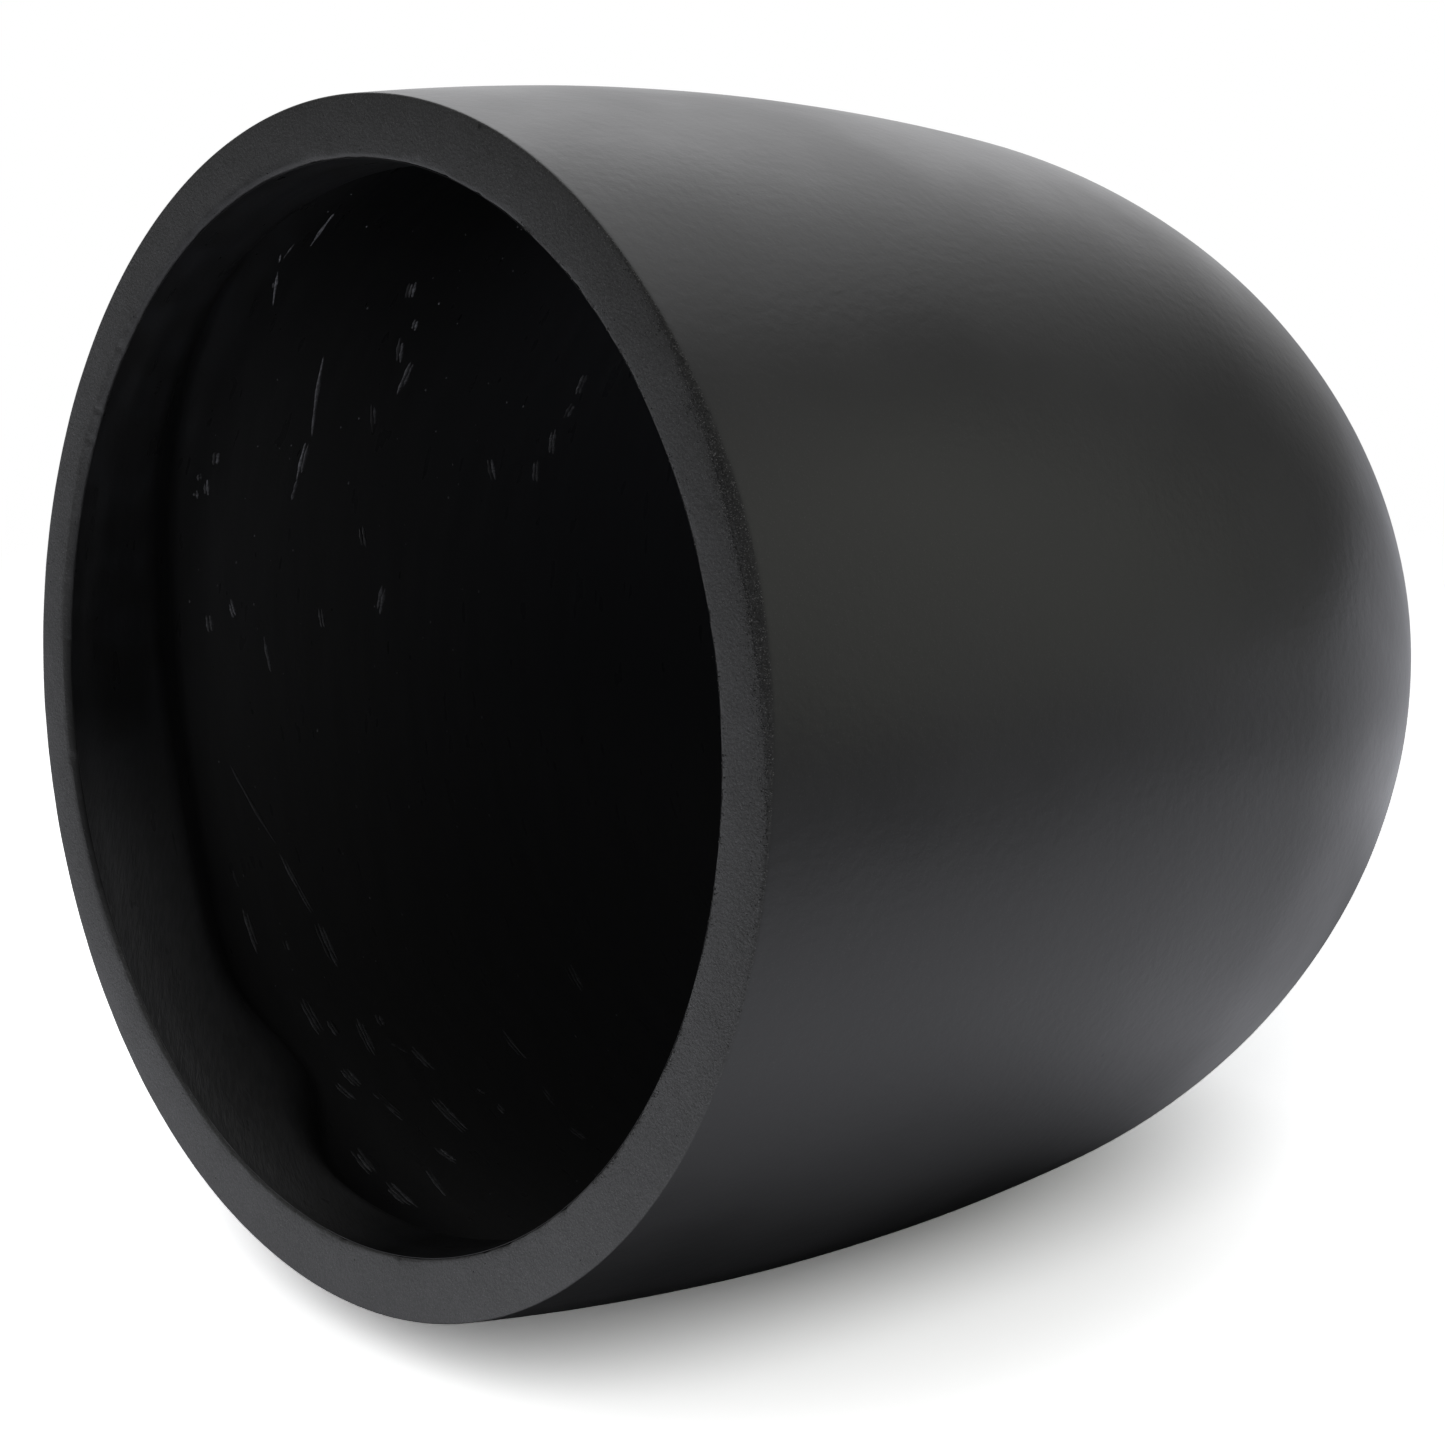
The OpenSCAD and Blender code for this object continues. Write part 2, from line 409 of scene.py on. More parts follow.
def inner_profile(theta, t, counts, top):
    """Half sections of the pot's hollow moved in by t, from the floor up to the mouth: (rows, angles, 2)."""
    n_floor, n_fillet, n_lower, n_belly, n_shoulder, n_edge, n_collar = counts
    edge = collar_edge(theta)
    edge_r = COLLAR_SOFT_R + LUMP_SOFT_R * bump(theta, LUMP_ANGLE, LUMP_SOFT_WIDTH)
    edge_c = (MOUTH_R + edge_r, edge + edge_r * (math.sqrt(2) - 1))
    fillet_c, fillet_a = shoulder_fillet(edge)
    same = np.ones_like(theta)
    floor_a = angle_to(LOWER_C, FLOOR_C) * same
    floor_z = FLOOR_T + t
    back_edge = arc(edge_c, edge_r + t, 225 * same, 180 * same, n_edge)
    rows = np.concatenate([
        line(all_round(theta, COAT_HOLE_R, floor_z), all_round(theta, FLOOR_C[0], floor_z), n_floor),
        arc(FLOOR_C, FLOOR_R - t, -90 * same, floor_a, n_fillet)[1:],
        arc(LOWER_C, LOWER_R - WALL - t, floor_a, JOIN_A * same, n_lower)[1:],
        arc(BELLY_C, BELLY_R - WALL - t, JOIN_A * same, fillet_a, n_belly)[1:],
        arc(fillet_c, SHOULDER_R - t, fillet_a, 45 * same, n_shoulder)[1:],
        back_edge,
        line(back_edge[-1], all_round(theta, MOUTH_R - t, top), n_collar)[1:],
    ])
    rows[..., 0] += widening(theta, rows[..., 1])
    return rows


def profile_normals(rows):
    """Unit vectors to the left of the profile's way, for profiles given as (rows, ..., 2)."""
    way = np.gradient(rows, axis=0)
    across = np.stack([-way[..., 1], way[..., 0]], -1)
    return across / np.linalg.norm(across, axis=-1, keepdims=True)


def path_length(profile):
    """Way along a profile from its first point to each of its points."""
    steps = np.linalg.norm(np.diff(profile, axis=0), axis=1)
    return np.concatenate([[0.0], np.cumsum(steps)])


# Meshes


def ring(theta, r, z):
    return np.stack([r * np.cos(theta), r * np.sin(theta), z + 0 * theta], -1)


def strip(a, na, b, nb):
    """Faces between two rings with first vertices a and b; their counts na and nb are equal or 1 to 2."""
    if na > nb:
        return [f[::-1] for f in strip(b, nb, a, na)]
    faces = []
    for i in range(na):
        j = (i + 1) % na
        if na == nb:
            faces.append((a + i, a + j, b + j, b + i))
        else:
            k = 2 * i
            faces += [
                (a + i, b + k + 1, b + k),
                (a + i, a + j, b + k + 1),
                (a + j, b + (k + 2) % nb, b + k + 1),
            ]
    return faces


def mesh_object(name, points, faces):
    """Smooth-shaded mesh with outward normals; points are in millimetres."""
    mesh = bpy.data.meshes.new(name)
    mesh.from_pydata((np.asarray(points) * MM).tolist(), [], faces)
    work = bmesh.new()
    work.from_mesh(mesh)
    bmesh.ops.recalc_face_normals(work, faces=work.faces)
    work.to_mesh(mesh)
    work.free()
    mesh.shade_smooth()
    mesh.set_sharp_from_angle(angle=math.radians(SHARP))
    obj = bpy.data.objects.new(name, mesh)
    bpy.context.scene.collection.objects.link(obj)
    return obj


def lathe(name, rings):
    """Closed mesh through rings of points, the last of which joins the first."""
    counts = [len(r) for r in rings]
    starts = [sum(counts[:i]) for i in range(len(rings))]
    faces = []
    for i, count in enumerate(counts):
        k = (i + 1) % len(rings)
        faces += strip(starts[i], count, starts[k], counts[k])
    return mesh_object(name, np.concatenate(rings), faces)


def chips(theta, past_edge):
    """Small bites out of the rim's inner edge; past_edge is the way along the profile from the edge."""
    rng = np.random.default_rng(17)
    total = np.zeros_like(theta)
    for _ in range(CHIP_COUNT):
        at = rng.uniform(-math.pi, math.pi)
        wide = rng.uniform(0.8, 2.4)
        deep = CHIP_DEPTH * rng.uniform(0.3, 1.0)
        off = rng.uniform(-1.0, 1.5)
        apart = (theta - at + math.pi) % (2 * math.pi) - math.pi
        total += deep * np.exp(-((apart * MOUTH_R / wide) ** 2) - ((past_edge - off) / CHIP_REACH) ** 2)
    return total


def cast_depth(theta, s, z, inner_edge):
    """How far the cast surface lies inside the drawn one."""
    side = smooth(z, *SIDE_FROM) * (1 - smooth(z, *SIDE_UNTIL))
    face = smooth(z, *FACE_FROM)
    near = np.exp(-(((s - inner_edge) / EDGE_WAVE_REACH) ** 2))
    depth = SIDE_WAVE * side * (0.5 + 0.5 * ripple(theta, s, 3, (60, 200), (50, 160)))
    depth += face * (RIM_SUNK + RIM_WAVE * (0.5 + 0.5 * ripple(theta, s, 5, (14, 60), (12, 40))))
    depth += EDGE_WAVE * near * (0.5 + 0.5 * ripple(theta, 0 * s, 7, (8, 70), (1000, 2000)))
    return depth * smooth(inner_edge - s, *TO_EDGE) + chips(theta, s - inner_edge)


def ring_step(r, z):
    """How many points of a full ring there are to one of the body's ring at a place."""
    if z > RIM_RINGS_Z:
        return 1
    if z > BASE_RINGS_Z:
        return 2
    return 4 if r > BASE_RINGS_R else 8


def make_body():
    """The cast pot: base, side, rim and mouth, the wall behind the coat, and the drain hole."""
    theta = angles(ROUND)
    rows = outer_profile(theta)
    normals = -profile_normals(rows)
    s = path_length(rows[:, 0])
    inner_edge = s[-MOUTH_ROWS] - 0.5 * RIM_INNER_R * math.pi / 2
    rings = []
    for row, normal, at in zip(rows, normals, s):
        r, z = row[0]
        step = ring_step(r, z)
        depth = cast_depth(theta[::step], at, z, inner_edge)
        cut = row[::step] - normal[::step] * depth[:, None]
        rings.append(ring(theta[::step], cut[:, 0], cut[:, 1]))
    theta = angles(ROUND // 2)
    hidden = inner_profile(theta, 0.0, HIDDEN_ROWS, coat_top(theta) - HIDDEN_DROP)[::-1]
    steps = [1] + [2] * (len(hidden) - 4) + [4] * 3
    rings += [ring(theta[::step], row[::step, 0], row[::step, 1]) for row, step in zip(hidden, steps)]
    for z in (FLOOR_T - DRAIN_CHAMFER, DRAIN_CHAMFER):
        rings.append(ring(angles(ROUND // 8), DRAIN_R, z))
    return lathe("cast_pot", rings)


def face_height(r, size):
    """Height at which a grain sits partly sunk in the rim's face."""
    return rim_top(r) - RIM_SUNK - 0.2 * size


def grain_places(rng):
    """Where the bare sand grains lie: angle round the pot, radius, height and size."""
    for _ in range(EDGE_GRAINS):
        theta = math.radians(WORN_ANGLE + WORN_WIDTH * rng.normal(0, EDGE_SPREAD))
        edge_r, edge_c = outer_edge(theta)
        size = rng.uniform(*EDGE_GRAIN_SIZE)
        a = math.radians(rng.uniform(*EDGE_TURN))
        reach = edge_r - 0.4 * size
        if rng.random() < BESIDE_SHARE:
            r = edge_c[0] - rng.exponential(BESIDE_FAR)
            yield theta, r, face_height(r, size), size
        else:
            yield theta, edge_c[0] + reach * math.cos(a), edge_c[1] + reach * math.sin(a), size
    for _ in range(INNER_GRAINS):
        theta = math.radians(rng.uniform(*INNER_GRAIN_ANGLES))
        size = rng.uniform(*EDGE_GRAIN_SIZE)
        r = MOUTH_R + INNER_LEAST + rng.exponential(INNER_FAR)
        yield theta, r, face_height(r, size), size
    for _ in range(FACE_GRAINS):
        size = rng.uniform(*FACE_GRAIN_SIZE)
        r = rng.uniform(MOUTH_R + FACE_MARGINS[0], RIM_R - FACE_MARGINS[1])
        yield rng.uniform(-math.pi, math.pi), r, face_height(r, size), size


def ball():
    """Points and faces of a small ball of radius 1."""
    work = bmesh.new()
    bmesh.ops.create_icosphere(work, subdivisions=1, radius=1)
    points = np.array([v.co for v in work.verts])
    faces = np.array([[v.index for v in f.verts] for f in work.faces])
    work.free()
    return points, faces


def make_grit():
    """The sand grains as small uneven balls that stand out of the rim a little."""
    rng = np.random.default_rng(29)
    round_points, round_faces = ball()
    points, faces = [], []
    for k, (theta, r, z, size) in enumerate(grain_places(rng)):
        at = (r * math.cos(theta), r * math.sin(theta), min(z, HEIGHT - 1.15 * size))
        points.append(at + size * round_points * rng.uniform(0.7, 1.1, (len(round_points), 1)))
        faces.append(round_faces + k * len(round_points))
    return mesh_object("bare_sand", np.concatenate(points), np.concatenate(faces).tolist())


def make_coat():
    """The brushed coat, as a layer on the inside of the cast pot that thins out towards the mouth's edge."""
    theta = angles(ROUND // 4)
    top = coat_top(theta)
    rows = inner_profile(theta, COAT, COAT_ROWS, top)
    r, z = rows[..., 0], rows[..., 1]
    s = path_length(rows[:, 0])[:, None]
    marks = COAT_WAVE * ripple(theta[None], s, 11, (70, 260), (7, 26), 40)
    marks *= smooth(r, COAT_HOLE_R, COAT_HOLE_R + HOLE_FADE) * (1 - CALM * smooth(z, *CALM_FROM))
    thinner = (COAT - COAT_EDGE_T) * smooth(z, top - COAT_TAPER, top)
    marks = marks * (1 - thinner / COAT) - thinner
    front = rows + profile_normals(rows) * marks[..., None]
    back = inner_profile(theta, COAT_GAP, COAT_BACK_ROWS, top)[::-1]
    return lathe("brushed_coat", [ring(theta, p[:, 0], p[:, 1]) for p in (*front, *back)])


def wall_arc(z):
    """Centre and radius of the arc that the coat's surface follows at a height."""
    low = z < BELLY_Z + (BELLY_R - WALL) * math.sin(math.radians(JOIN_A))
    return (LOWER_C, LOWER_R - WALL - COAT) if low else (BELLY_C, BELLY_R - WALL - COAT)


def wall_point(theta, z):
    """Point on the coat as drawn behind the collar, with its normal into the hollow."""
    centre, radius = wall_arc(z)
    r = on_circle(centre, radius, z)[0]
    n = unit(centre - (r, z))
    out = np.array([math.cos(theta), math.sin(theta), 0.0])
    up = np.array([0.0, 0.0, 1.0])
    return r * out + z * up, n[0] * out + n[1] * up


def wall_behind(view, x, y):
    """Angle and height of the place on the drawn coat that shows at a pixel of the photo."""
    middle = 0.5 * IMAGE_PX
    way = unit(view.right * (x - middle) / FOCAL_PX + view.up * (middle - y) / FOCAL_PX - view.back)
    near = (HEIGHT - view.eye[2]) / way[2]
    far = near + 2 * MAX_R
    for _ in range(30):
        mid = 0.5 * (near + far)
        at = view.eye + mid * way
        z = max(at[2], FLOOR_T + FLOOR_R)
        inside = math.hypot(at[0], at[1]) < on_circle(*wall_arc(z), z)[0]
        near, far = (mid, far) if inside else (near, mid)
    return math.atan2(at[1], at[0]), at[2]


def ridge(start, end, width, height):
    """One raised mark: a tapered bead laid on the wall between two places, each an angle and a height."""
    steps, around = (16, 10) if width > 1 else (6, 6)
    ahead = unit(wall_point(*end)[0] - wall_point(*start)[0])
    points = []
    for i in range(steps + 1):
        u = i / steps
        taper = math.sqrt(max(0.0, 4 * u * (1 - u))) * (0.82 + 0.18 * math.sin(13 * u + 900 * start[0]))
        p, n = wall_point(start[0] + u * (end[0] - start[0]), start[1] + u * (end[1] - start[1]))
        side = np.cross(n, ahead)
        for k in range(around):
            a = 2 * math.pi * k / around
            points.append(p + side * (0.5 * width * taper * math.cos(a)) + n * (height * taper * math.sin(a)))
    faces = []
    for i in range(steps):
        faces += strip(i * around, around, (i + 1) * around, around)
    faces += [tuple(range(around)), tuple(steps * around + k for k in range(around))]
    return points, faces


def bristle_marks(rng, start, end, pixels):
    """A stroke as one to three bristle marks side by side, each a little shorter than the stroke."""
    start, end = np.array(start), np.array(end)
    along = end - start
    to_mm = np.array([MAX_R, 1.0])
    across = unit((along * to_mm)[::-1] * (-1, 1)) / to_mm
    count = 1 + sum(pixels >= least for least in SPLIT_PX)
    width = BEAD * pixels * PIXEL / (0.3 + 0.7 * count)
    for k in range(count):
        aside = (k - 0.5 * (count - 1)) * 0.85 * width * across
        cut_start, cut_end = rng.uniform(0, 0.25, 2) if count > 1 else (0, 0)
        height = width * rng.uniform(0.1, 0.2)
        yield ridge(start + cut_start * along + aside, end - cut_end * along + aside, width, height)


def make_ridges(view):
    """Brush strokes standing on the wall behind the collar, as the photo shows them and a few where it can't,
    and specks of dust."""
    rng = np.random.default_rng(41)
    marks = []
    for x0, y0, x1, y1, pixels in STROKES:
        marks += bristle_marks(rng, wall_behind(view, x0, y0), wall_behind(view, x1, y1), pixels)
    for _ in range(UNSEEN_STROKES):
        theta = math.radians(rng.uniform(*UNSEEN_ANGLES))
        z = rng.uniform(*UNSEEN_HEIGHTS)
        width = rng.uniform(1.2, 2.4)
        end = (theta + rng.uniform(0.03, 0.08), z + rng.normal(0, 1.5))
        marks.append(ridge((theta, z), end, width, 0.15 * width))
    for _ in range(DUST_SPECKS):
        theta = math.radians(rng.normal(*DUST_ANGLES))
        z = rng.uniform(*DUST_HEIGHTS)
        width = rng.uniform(0.4, 0.9)
        end = (theta + width * rng.uniform(1, 2) / MAX_R, z)
        marks.append(ridge((theta, z), end, width, 0.4 * width))
    points, faces = [], []
    for new, quads in marks:
        faces += [tuple(len(points) + v for v in q) for q in quads]
        points += new
    return mesh_object("brush_ridges", points, faces)


# Materials


class Nodes:
    """Adds shader nodes to a tree and joins them."""

    def __init__(self, tree):
        self.tree = tree
        tree.nodes.clear()

    def put(self, socket, value):
        """Gives a socket a value or joins it to another node's output."""
        if isinstance(value, bpy.types.NodeSocket):
            self.tree.links.new(value, socket)
        else:
            socket.default_value = value

    def add(self, kind, inputs=(), **settings):
        """A node with its settings; inputs map sockets to values or to other nodes' outputs."""
        node = self.tree.nodes.new(kind)
        for name, value in settings.items():
            setattr(node, name, value)
        for socket, value in dict(inputs).items():
            self.put(node.inputs[socket], value)
        return node

    def math(self, operation, a, b=0.0):
        return self.add("ShaderNodeMath", {0: a, 1: b}, operation=operation).outputs[0]

    def times(self, first, *others):
        for other in others:
            first = self.math("MULTIPLY", first, other)
        return first

    def vector_math(self, operation, inputs):
        return self.add("ShaderNodeVectorMath", inputs, operation=operation).outputs

    def dot(self, where, way):
        return self.vector_math("DOT_PRODUCT", {0: where, 1: way})["Value"]

    def split(self, vector):
        return self.add("ShaderNodeSeparateXYZ", {"Vector": vector}).outputs

    def radius(self, xyz):
        """Distance from the pot's axis."""
        flat = self.add("ShaderNodeCombineXYZ", {"X": xyz["X"], "Y": xyz["Y"]}).outputs["Vector"]
        return self.vector_math("LENGTH", {0: flat})["Value"]

    def coords(self, kind):
        return self.add("ShaderNodeTexCoord").outputs[kind]

    def noise(self, where, scale, detail=2.0, roughness=0.5):
        values = {"Vector": where, "Scale": scale, "Detail": detail, "Roughness": roughness}
        return self.add("ShaderNodeTexNoise", values).outputs["Fac"]

    def ramp(self, value, low, high, to_low=0.0, to_high=1.0):
        """Soft step of a value, from to_low at low to to_high at high."""
        values = {"Value": value, "From Min": low, "From Max": high, "To Min": to_low, "To Max": to_high}
        return self.add("ShaderNodeMapRange", values, interpolation_type="SMOOTHSTEP").outputs["Result"]

    def mix(self, factor, a, b):
        """Colour that goes from a to b with a factor; only a number tells the node's colour sockets apart."""
        node = self.add("ShaderNodeMix", {0: factor, 6: a, 7: b}, data_type="RGBA")
        return node.outputs[2]

    def blend(self, factor, a, b):
        """Shader that goes from a to b with a factor."""
        return self.add("ShaderNodeMixShader", {0: factor, 1: a, 2: b}).outputs["Shader"]

    def bump(self, height, distance, strength=1.0, normal=None):
        values = {"Height": height, "Distance": distance, "Strength": strength}
        if normal is not None:
            values["Normal"] = normal
        return self.add("ShaderNodeBump", values).outputs["Normal"]


def grey(value, tint=(1.0, 1.0, 1.0)):
    return (value * tint[0], value * tint[1], value * tint[2], 1.0)


def heading(angle):
    """Level direction at an angle round the pot, in degrees."""
    return Vector((math.cos(math.radians(angle)), math.sin(math.radians(angle)), 0.0))


def new_material(name):
    material = bpy.data.materials.new(name)
    material.use_nodes = True
    return material, Nodes(material.node_tree)


def finish_material(n, values):
    shader = n.add("ShaderNodeBsdfPrincipled", values)
    n.add("ShaderNodeOutputMaterial", {"Surface": shader.outputs["BSDF"]})


def pinholes(n, where):
    """Mask of a few small round pores, one in every tenth cell of a pattern, where painted shade goes."""
    cell = n.add("ShaderNodeTexVoronoi", {"Vector": where, "Scale": 55.0}).outputs
    rare = n.ramp(n.split(cell["Color"])["X"], 0.9, 0.92)
    return n.times(rare, n.ramp(cell["Distance"], 0.055, 0.03))


def coat_smear(n, where, xyz):
    """Mask of the coat's black on the rounder stretch of the rim's inner edge."""
    near = n.ramp(n.radius(xyz), (MOUTH_R + SMEAR_GONE) * MM, (MOUTH_R + SMEAR_FULL) * MM)
    stretch = n.ramp(n.dot(where, heading(WIDER_ANGLE)), *SMEAR_REACH)
    return n.times(near, stretch, n.ramp(xyz["Z"], *RIM_FADE))


def cast_concrete():
    """Charcoal concrete: satin and cloudy on the side, sandy and worn on the rim, pinholes painted dark as
    shade.
    """
    material, n = new_material("cast_concrete")
    where = n.coords("Object")
    xyz = n.split(where)
    facing_up = n.split(n.coords("Normal"))["Z"]
    rim = n.times(n.ramp(facing_up, 0.1, 0.6), n.ramp(xyz["Z"], *RIM_FADE))
    clouds = n.noise(where, 14.0, 4.0, 0.55)
    blotches = n.noise(where, 90.0, 3.0, 0.5)
    sand = n.noise(where, 1100.0, 3.0, 0.65)
    specks = n.noise(where, 2100.0, 1.0, 0.5)
    peel = n.noise(where, 260.0, 2.0, 0.5)
    body = n.mix(n.ramp(clouds, 0.3, 0.7), grey(0.026), grey(0.033))
    face = n.mix(n.ramp(blotches, 0.3, 0.7), grey(0.038, (1, 1, 0.95)), grey(0.046, (1, 1, 0.97)))
    face = n.mix(n.ramp(sand, 0.38, 0.62, 0.0, 0.5), face, grey(0.08, (1, 1, 0.96)))
    colour = n.mix(rim, body, face)
    speckled = n.ramp(specks, 0.64, 0.72, 0.0, n.ramp(rim, 0.0, 1.0, 0.12, 0.7))
    colour = n.mix(speckled, colour, grey(0.16))
    # Painted shade: the pinholes are coloured near black, as the shade inside them
    colour = n.mix(pinholes(n, where), colour, grey(0.004))
    colour = n.mix(coat_smear(n, where, xyz), colour, grey(0.006))
    rough = n.math("ADD", n.ramp(clouds, 0.3, 0.7, 0.3, 0.38), n.times(rim, 0.1))
    normal = n.bump(peel, 0.0002, 0.5)
    normal = n.bump(sand, 0.0003, n.math("ADD", n.times(rim, 0.7), 0.1), normal)
    finish_material(n, {"Base Color": colour, "Roughness": rough, "Normal": normal, "IOR": 1.5})
    return material


def bare_sand():
    """Sand grains, most as dark as the casting and some pale; part of that paleness is a painted glint on the
    grains.
    """
    material, n = new_material("bare_sand")
    each = n.add("ShaderNodeNewGeometry").outputs["Random Per Island"]
    # Partly painted highlight: the pale grains are pale sand and also stand in for grains catching the light
    colour = n.mix(n.ramp(each, 0.3, 1.0), grey(0.03), grey(0.2, (1, 0.99, 0.95)))
    finish_material(n, {"Base Color": colour, "Roughness": 0.4, "IOR": 1.5})
    return material


def black_sealant():
    """Glossy black coat with faint streaks round the pot, thin and bristly on one stretch of the collar, with
    painted light: paler on that stretch and towards the mouth, and deep down pale towards it and at the
    bottom, with painted shade on the far side.
    """
    material, n = new_material("black_sealant")
    where = n.coords("Object")
    xyz = n.split(where)
    streaked = n.add("ShaderNodeMapping", {"Vector": where, "Scale": (45.0, 45.0, 260.0)}).outputs["Vector"]
    streaks = n.noise(streaked, 1.0, 1.5, 0.5)
    blots = n.noise(where, 60.0, 3.0, 0.5)
    mottle = n.noise(where, 700.0, 3.0, 0.6)
    turn = (math.radians(BRISTLE_TILT), 0.0, math.radians(THIN_ANGLE))
    turned = {"Vector": where, "Rotation": turn, "Scale": BRISTLE_SIZE}
    lain = n.add("ShaderNodeMapping", turned, vector_type="TEXTURE").outputs["Vector"]
    bristle = n.noise(lain, 1.0, 2.0, 0.6)
    to_thin = n.dot(where, heading(THIN_ANGLE))
    thin = n.times(n.ramp(to_thin, *THIN_REACH), n.ramp(xyz["Z"], *THIN_AND_LIT_Z, 0.4, 1.0))
    thin = n.times(thin, n.ramp(n.radius(xyz), *THIN_R))
    brushed = n.times(thin, n.ramp(xyz["Z"], *BRISTLE_Z))
    thin = n.times(thin, n.ramp(bristle, 0.35, 0.65, 0.75, 1.0))
    colour = n.mix(n.ramp(blots, 0.35, 0.7), grey(0.013), grey(0.017, (0.96, 0.98, 1.04)))
    # Painted shade and light deep down: the wall is near black on the far side and pale towards the thin
    # stretch, and the bottom is pale, where light falls in
    wall = n.mix(n.ramp(to_thin, *LIT_WALL_REACH), grey(0.004, (0.96, 0.98, 1.06)), grey(0.06))
    colour = n.mix(n.ramp(xyz["Z"], *WALL_Z), colour, wall)
    colour = n.mix(n.ramp(xyz["Z"], *BOTTOM_Z), colour, grey(0.06, (0.96, 0.98, 1.06)))
    # Partly painted light: the thin stretch is paler coat with bristle marks, and is painted paler still,
    # more so towards the mouth, as light falling in
    colour = n.mix(thin, colour, grey(0.105))
    rough = n.math("ADD", n.ramp(streaks, 0.3, 0.7, 0.27, 0.36), n.ramp(blots, 0.4, 0.7, 0.0, 0.03))
    normal = n.bump(mottle, 0.0002, 0.3, n.bump(streaks, 0.0003, 0.25))
    normal = n.bump(bristle, 0.0006, n.times(brushed, 0.5), normal)
    finish_material(n, {"Base Color": colour, "Roughness": rough, "Normal": normal, "IOR": 1.45})
    return material


def brush_glint_and_dust():
    """Brush marks and dust: paler than the coat and broken up, less so on the side that lies lowest; on the
    marks the paleness is a painted glint of light on their ridges.
    """
    material, n = new_material("brush_glint_and_dust")
    where = n.coords("Object")
    each = n.add("ShaderNodeNewGeometry").outputs["Random Per Island"]
    broken = n.ramp(n.noise(where, 900.0, 2.0, 0.6), 0.35, 0.65, 0.3, 1.0)
    pale = n.times(broken, each, n.ramp(n.split(where)["Y"], 0.0, 0.1, 1.0, 0.6))
    # Painted highlight: on the brush marks the pale colour stands in for light catching their ridges; the
    # dust specks share it
    colour = n.mix(pale, grey(0.05), grey(0.3, (0.97, 0.98, 1.04)))
    finish_material(n, {"Base Color": colour, "Roughness": 0.4, "IOR": 1.45})
    return material


def black_rubber():
    """Matt moulded rubber with a little dust."""
    material, n = new_material("black_rubber")
    where = n.coords("Object")
    dust = n.noise(where, 180.0, 4.0, 0.6)
    fine = n.noise(where, 1600.0, 2.0, 0.5)
    colour = n.mix(n.ramp(dust, 0.45, 0.75), grey(0.014), grey(0.03))
    rough = n.ramp(dust, 0.3, 0.7, 0.5, 0.68)
    finish_material(n, {"Base Color": colour, "Roughness": rough, "Normal": n.bump(fine, 0.0001, 0.4)})
    return material


def floor_glow(n, where, away, front):
    """How bright the floor looks from the pot, as painted bounce light: a painted shadow under it, bright
    beside it and past its ends, dim far away and dimmest in front."""
    xyz = n.split(where)
    behind = n.dot(where, Vector(-front))
    far = n.times(n.ramp(away, *GLOW_FAR), n.ramp(behind, *GLOW_BEHIND))
    aside = n.math("ADD", n.math("ABSOLUTE", xyz["X"]), n.ramp(xyz["Z"], *GLOW_AT_BASE))
    past_ends = n.math("MAXIMUM", n.ramp(xyz["Z"], *GLOW_PAST_MOUTH), n.ramp(xyz["Z"], *GLOW_PAST_BASE))
    beside = n.math("MAXIMUM", n.ramp(aside, *GLOW_BESIDE), past_ends)
    return n.times(beside, n.math("SUBTRACT", 1.0, far), FLOOR_GLOW)


def pale_floor(front):
    """White paper round the pot, there from its upper side only. To the camera it is lit paper that fades
    into the white backdrop. On the pot it throws a set glow."""
    material, n = new_material("pale_floor")
    where = n.coords("Object")
    away = n.vector_math("DISTANCE", {0: where, 1: FLOOR_TOUCH})["Value"]
    paper = n.mix(n.noise(where, 3.0, 2.0), grey(FLOOR_GAIN), grey(FLOOR_GAIN * 1.03))
    lit = n.add("ShaderNodeBsdfDiffuse", {"Color": paper}).outputs["BSDF"]
    clear = n.add("ShaderNodeBsdfTransparent").outputs["BSDF"]
    shown = n.blend(n.ramp(away, *FLOOR_FADE), lit, clear)
    glow = {"Color": FLOOR_TINT, "Strength": floor_glow(n, where, away, front)}
    bounce = n.add("ShaderNodeEmission", glow).outputs["Emission"]
    upper = n.blend(n.add("ShaderNodeLightPath").outputs["Is Camera Ray"], bounce, shown)
    both = n.blend(n.add("ShaderNodeNewGeometry").outputs["Backfacing"], upper, clear)
    n.add("ShaderNodeOutputMaterial", {"Surface": both})
    material.cycles.emission_sampling = "NONE"
    return material


# Studio


def fitted_view():
    """The camera and the floor in the row frame. The pot stands upright there, so the camera and the floor
    lean instead, and the floor touches the pot's +Y side."""
    turn, dip, pitch = (math.radians(a) for a in (AXIS_TURN, AXIS_DIP, CAMERA_PITCH))
    axis = np.array([-math.sin(turn) * math.cos(dip), math.sin(dip), -math.cos(turn) * math.cos(dip)])
    upward = np.array([0.0, -math.cos(pitch), -math.sin(pitch)])
    y = -unit(upward - (upward @ axis) * axis)
    to_row = np.stack([np.cross(y, axis), y, axis])
    eye = to_row @ -MOUTH_IN_CAMERA + (0, 0, HEIGHT)
    back = to_row @ (0, 0, -1)
    floor_up = to_row @ upward
    front = unit(back - (back @ floor_up) * floor_up)
    left = np.cross(front, floor_up)
    return View(to_row @ (1, 0, 0), to_row @ (0, -1, 0), back, eye, front, left, floor_up)


def studio_way(view, ahead, aside, above):
    """Direction with the given shares to the floor's front, to its left and up."""
    return Vector(unit(ahead * view.front + aside * view.left + above * view.floor_up))


def make_camera(view):
    data = bpy.data.cameras.new("camera")
    data.sensor_width = SENSOR
    data.lens = FOCAL_PX / IMAGE_PX * SENSOR
    camera = bpy.data.objects.new("camera", data)
    turn = Matrix((view.right, view.up, view.back)).transposed().to_4x4()
    camera.matrix_world = Matrix.Translation(Vector(view.eye * MM)) @ turn
    bpy.context.scene.collection.objects.link(camera)
    bpy.context.scene.camera = camera


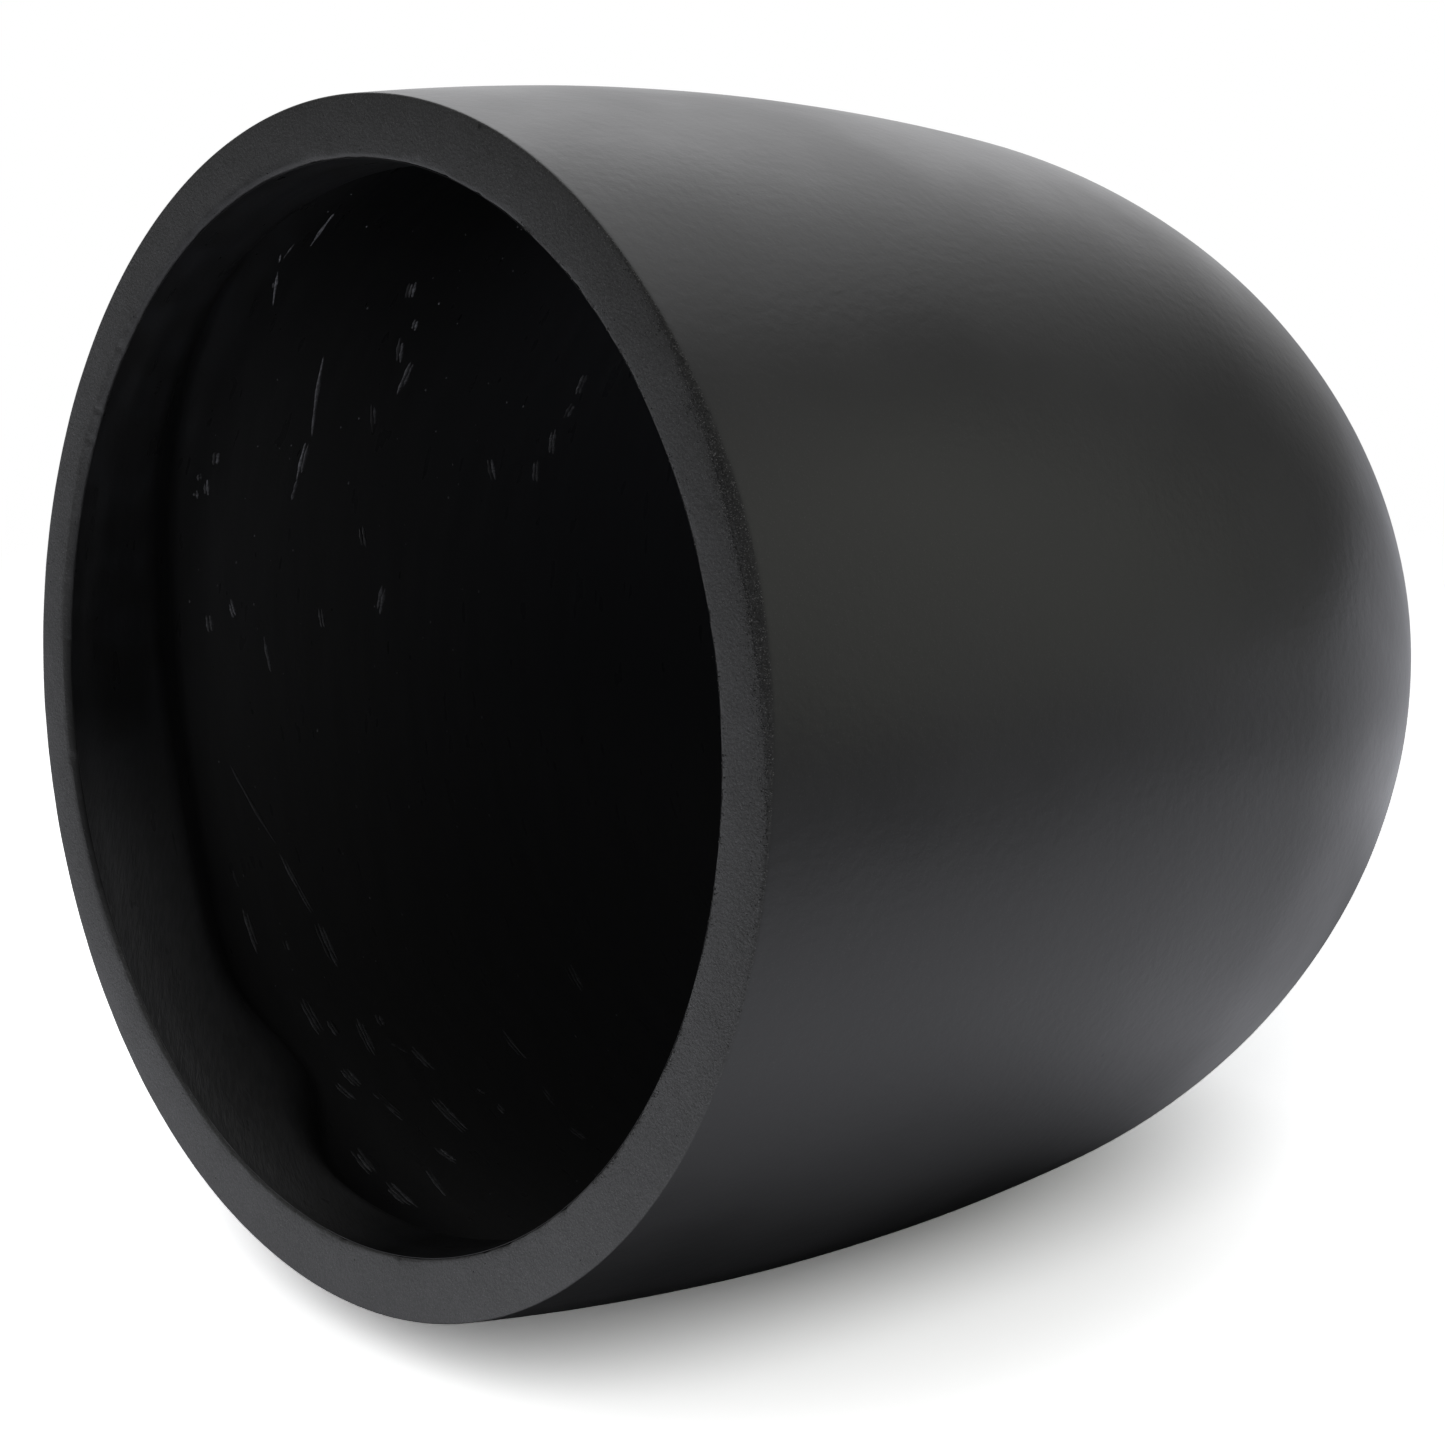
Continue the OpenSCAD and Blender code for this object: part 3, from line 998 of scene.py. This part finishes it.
def make_floor(view):
    """A round sheet tangent to the side of the pot that lies on it."""
    tilt = math.asin(view.floor_up[2])
    touch_z = BELLY_Z - BELLY_R * math.sin(tilt)
    touch_r = BELLY_C[0] + BELLY_R * math.cos(tilt)
    centre = np.array([0.0, touch_r, touch_z])
    level = np.array([1.0, 0.0, 0.0])
    ahead = np.cross(view.floor_up, level)
    points = [centre]
    around = FLOOR_AROUND
    for i in range(1, FLOOR_RINGS + 1):
        far = FLOOR_REACH * (i / FLOOR_RINGS) ** 2
        for a in angles(around):
            points.append(centre + far * (math.cos(a) * level + math.sin(a) * ahead))
    faces = [(0, 1 + k, 1 + (k + 1) % around) for k in range(around)]
    for i in range(FLOOR_RINGS - 1):
        faces += [f[::-1] for f in strip(1 + i * around, around, 1 + (i + 1) * around, around)]
    mesh = bpy.data.meshes.new("pale_floor")
    mesh.from_pydata((np.array(points) * MM).tolist(), [], faces)
    floor = bpy.data.objects.new("pale_floor", mesh)
    mesh.update()
    if mesh.polygons[0].normal.dot(Vector(view.floor_up)) < 0:
        mesh.flip_normals()
    bpy.context.scene.collection.objects.link(floor)
    mesh.materials.append(pale_floor(view.front))
    return floor


def make_floor_lamp(floor, way, watts):
    """A soft lamp that lights the floor alone and leaves the pot to the floor's glow."""
    data = bpy.data.lights.new("floor_lamp", "AREA")
    data.shape = "DISK"
    data.size = LAMP_SIZE
    data.energy = watts
    lamp = bpy.data.objects.new("floor_lamp", data)
    lamp.location = Vector(FLOOR_TOUCH) + LAMP_AWAY * way
    lamp.rotation_mode = "QUATERNION"
    lamp.rotation_quaternion = way.to_track_quat("Z", "Y")
    lamp.visible_camera = False
    lamp.visible_glossy = False
    bpy.context.scene.collection.objects.link(lamp)
    lit = bpy.data.collections.new("lit_by_floor_lamp")
    lit.objects.link(floor)
    lamp.light_linking.receiver_collection = lit


def make_world(view):
    """White to the camera; for light, an even glow and the soft panels."""
    world = bpy.data.worlds.new("studio")
    bpy.context.scene.world = world
    world.use_nodes = True
    n = Nodes(world.node_tree)
    where = n.coords("Generated")
    total = Vector((AMBIENT, AMBIENT, AMBIENT))
    for ahead, aside, above, colour, far, near in PANELS:
        share = n.ramp(n.dot(where, studio_way(view, ahead, aside, above)), far, near)
        part = n.vector_math("SCALE", {0: Vector(colour), "Scale": share})[0]
        total = n.vector_math("ADD", {0: part, 1: total})[0]
    light = n.add("ShaderNodeBackground", {"Color": total}).outputs[0]
    white = n.add("ShaderNodeBackground", {"Color": grey(1.0)}).outputs[0]
    both = n.blend(n.add("ShaderNodeLightPath").outputs["Is Camera Ray"], light, white)
    n.add("ShaderNodeOutputWorld", {"Surface": both})


def dress(obj, material, slot, *nodes):
    """Gives a piece its material and puts it in the place of CAD nodes; its slot is not used."""
    obj.data.materials.clear()
    obj.data.materials.append(material)
    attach(obj, "planter")
    if nodes:
        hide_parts(*nodes)


view = fitted_view()
make_camera(view)
floor = make_floor(view)
for ahead, aside, above, watts in FLOOR_LAMPS:
    make_floor_lamp(floor, studio_way(view, ahead, aside, above), watts)
make_world(view)
bpy.context.scene.view_settings.view_transform = "Standard"

dress(make_body(), cast_concrete(), "cast_concrete", "planter_shell")
dress(make_grit(), bare_sand(), "cast_concrete")
dress(make_coat(), black_sealant(), "black_sealant", "sealant_lining")
dress(make_ridges(view), brush_glint_and_dust(), "black_sealant")
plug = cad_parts["drain_plug"]
plug.data.materials.clear()
plug.data.materials.append(black_rubber())
